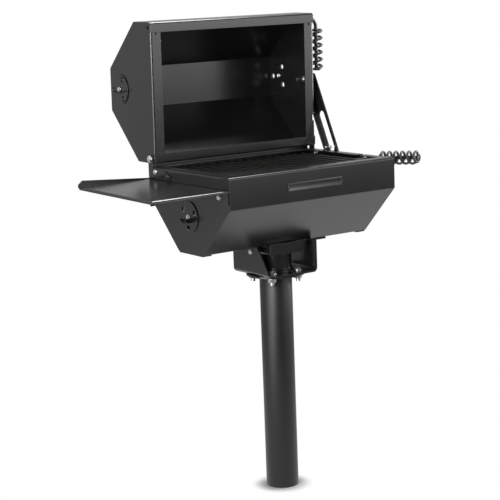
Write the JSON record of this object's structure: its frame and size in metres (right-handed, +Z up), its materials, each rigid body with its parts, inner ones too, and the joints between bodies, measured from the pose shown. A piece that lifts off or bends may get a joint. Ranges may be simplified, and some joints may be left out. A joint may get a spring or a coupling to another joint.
{
  "type": "covered park grill on a pedestal post",
  "caption": "Covered charcoal park grill on a round post: folded steel firebox and hinged lid on a bolted swivel, with tip-up grate, coil handles, dampers, ash drawer and side shelf.",
  "frame": {"origin": "on the post's axis at ground level", "axes": "+Z up along the post, +X along the firebox towards its coil handles, -Y towards the front where the drawer and name plate face; stored with the lid open"},
  "size_m": [0.8493, 0.5882, 1.2855],
  "materials": {
    "powder_coat": "satin black powder coat over welded and folded steel",
    "bar_steel": "dark, oiled round steel bar, matt and a little rough",
    "zinc": "bright zinc-plated bolts and pins",
    "wire": "dark spring-steel wire, satin"
  },
  "bodies": {
    "post": {"post": "powder_coat"},
    "head": {"swivel_flange": "powder_coat", "cradle": "powder_coat", "flange_bolt_1": "zinc", "flange_bolt_2": "zinc", "flange_bolt_3": "zinc", "flange_bolt_4": "zinc", "cradle_bolt_left": "zinc", "cradle_bolt_right": "zinc", "firebox_shell": "powder_coat", "firebox_end_left": "powder_coat", "firebox_end_right": "powder_coat", "name_plate": "powder_coat", "drawer_rail_left": "powder_coat", "drawer_rail_right": "powder_coat", "charcoal_grate": "bar_steel", "grate_bush_left": "powder_coat", "grate_bush_right": "powder_coat", "grate_rest_left": "powder_coat", "grate_rest_right": "powder_coat", "hinge_plate_left": "powder_coat", "hinge_plate_right": "powder_coat", "lid_stop_strip": "powder_coat", "hinge_pin_left": "zinc", "hinge_pin_right": "zinc", "arm_pin_ear": "powder_coat", "arm_slide_pin": "zinc", "side_shelf": "powder_coat", "hinge_bolt_left_1": "zinc", "hinge_bolt_left_2": "zinc", "hinge_bolt_right_1": "zinc", "hinge_bolt_right_2": "zinc", "shelf_bolt_left_1": "zinc", "shelf_bolt_left_2": "zinc", "damper_bolt_firebox_left": "zinc", "damper_bolt_firebox_right": "zinc"},
    "drawer": {"ash_drawer": "powder_coat"},
    "grate": {"cooking_grate": "bar_steel", "grate_handle_rod": "bar_steel", "grate_coil": "wire"},
    "damper_firebox_left": {"damper_firebox_left": "powder_coat"},
    "damper_lid_left": {"damper_lid_left": "powder_coat"},
    "lid": {"damper_bolt_lid_left": "zinc", "damper_bolt_lid_right": "zinc", "lid_shell": "powder_coat", "lid_end_left": "powder_coat", "lid_end_right": "powder_coat", "lid_handle_rod": "bar_steel", "lid_coil": "wire", "arm_pivot_bolt": "zinc"},
    "damper_firebox_right": {"damper_firebox_right": "powder_coat"},
    "damper_lid_right": {"damper_lid_right": "powder_coat"},
    "arm": {"support_arm": "powder_coat"}
  },
  "joints": [
    {"name": "head_swivel", "type": "hinge", "parent": "post", "child": "head", "pos_m": [0, 0, 0.594], "axis": [0, 0, 1], "continuous": true},
    {"name": "lid_hinge", "type": "hinge", "parent": "head", "child": "lid", "pos_m": [0, 0.175, 0.922], "axis": [1, 0, 0], "range_deg": [0, 89]},
    {"name": "arm_swing", "type": "hinge", "parent": "lid", "child": "arm", "pos_m": [0.293, 0.19694, 1.09741], "axis": [1, 0, 0], "range_deg": [0, 5.3]},
    {"name": "grate_tip", "type": "hinge", "parent": "head", "child": "grate", "pos_m": [0, 0.112, 0.87545], "axis": [1, 0, 0], "range_deg": [-85, 0]},
    {"name": "drawer_slide", "type": "slide", "parent": "head", "child": "drawer", "axis": [0, -1, 0], "range_m": [0, 0.1]},
    {"name": "damper_firebox_left_turn", "type": "hinge", "parent": "head", "child": "damper_firebox_left", "pos_m": [-0.2715, 0, 0.784], "axis": [1, 0, 0], "range_deg": [0, 60]},
    {"name": "damper_firebox_right_turn", "type": "hinge", "parent": "head", "child": "damper_firebox_right", "pos_m": [0.2715, 0, 0.784], "axis": [1, 0, 0], "range_deg": [0, 60]},
    {"name": "damper_lid_left_turn", "type": "hinge", "parent": "lid", "child": "damper_lid_left", "pos_m": [-0.2715, 0.31587, 1.10249], "axis": [1, 0, 0], "range_deg": [0, 60]},
    {"name": "damper_lid_right_turn", "type": "hinge", "parent": "lid", "child": "damper_lid_right", "pos_m": [0.2715, 0.31587, 1.10249], "axis": [1, 0, 0], "range_deg": [0, 60]}
  ],
  "couplings": [
    {"joint": "arm_swing", "follows": "lid_hinge", "ratio": 0.058458}
  ]
}
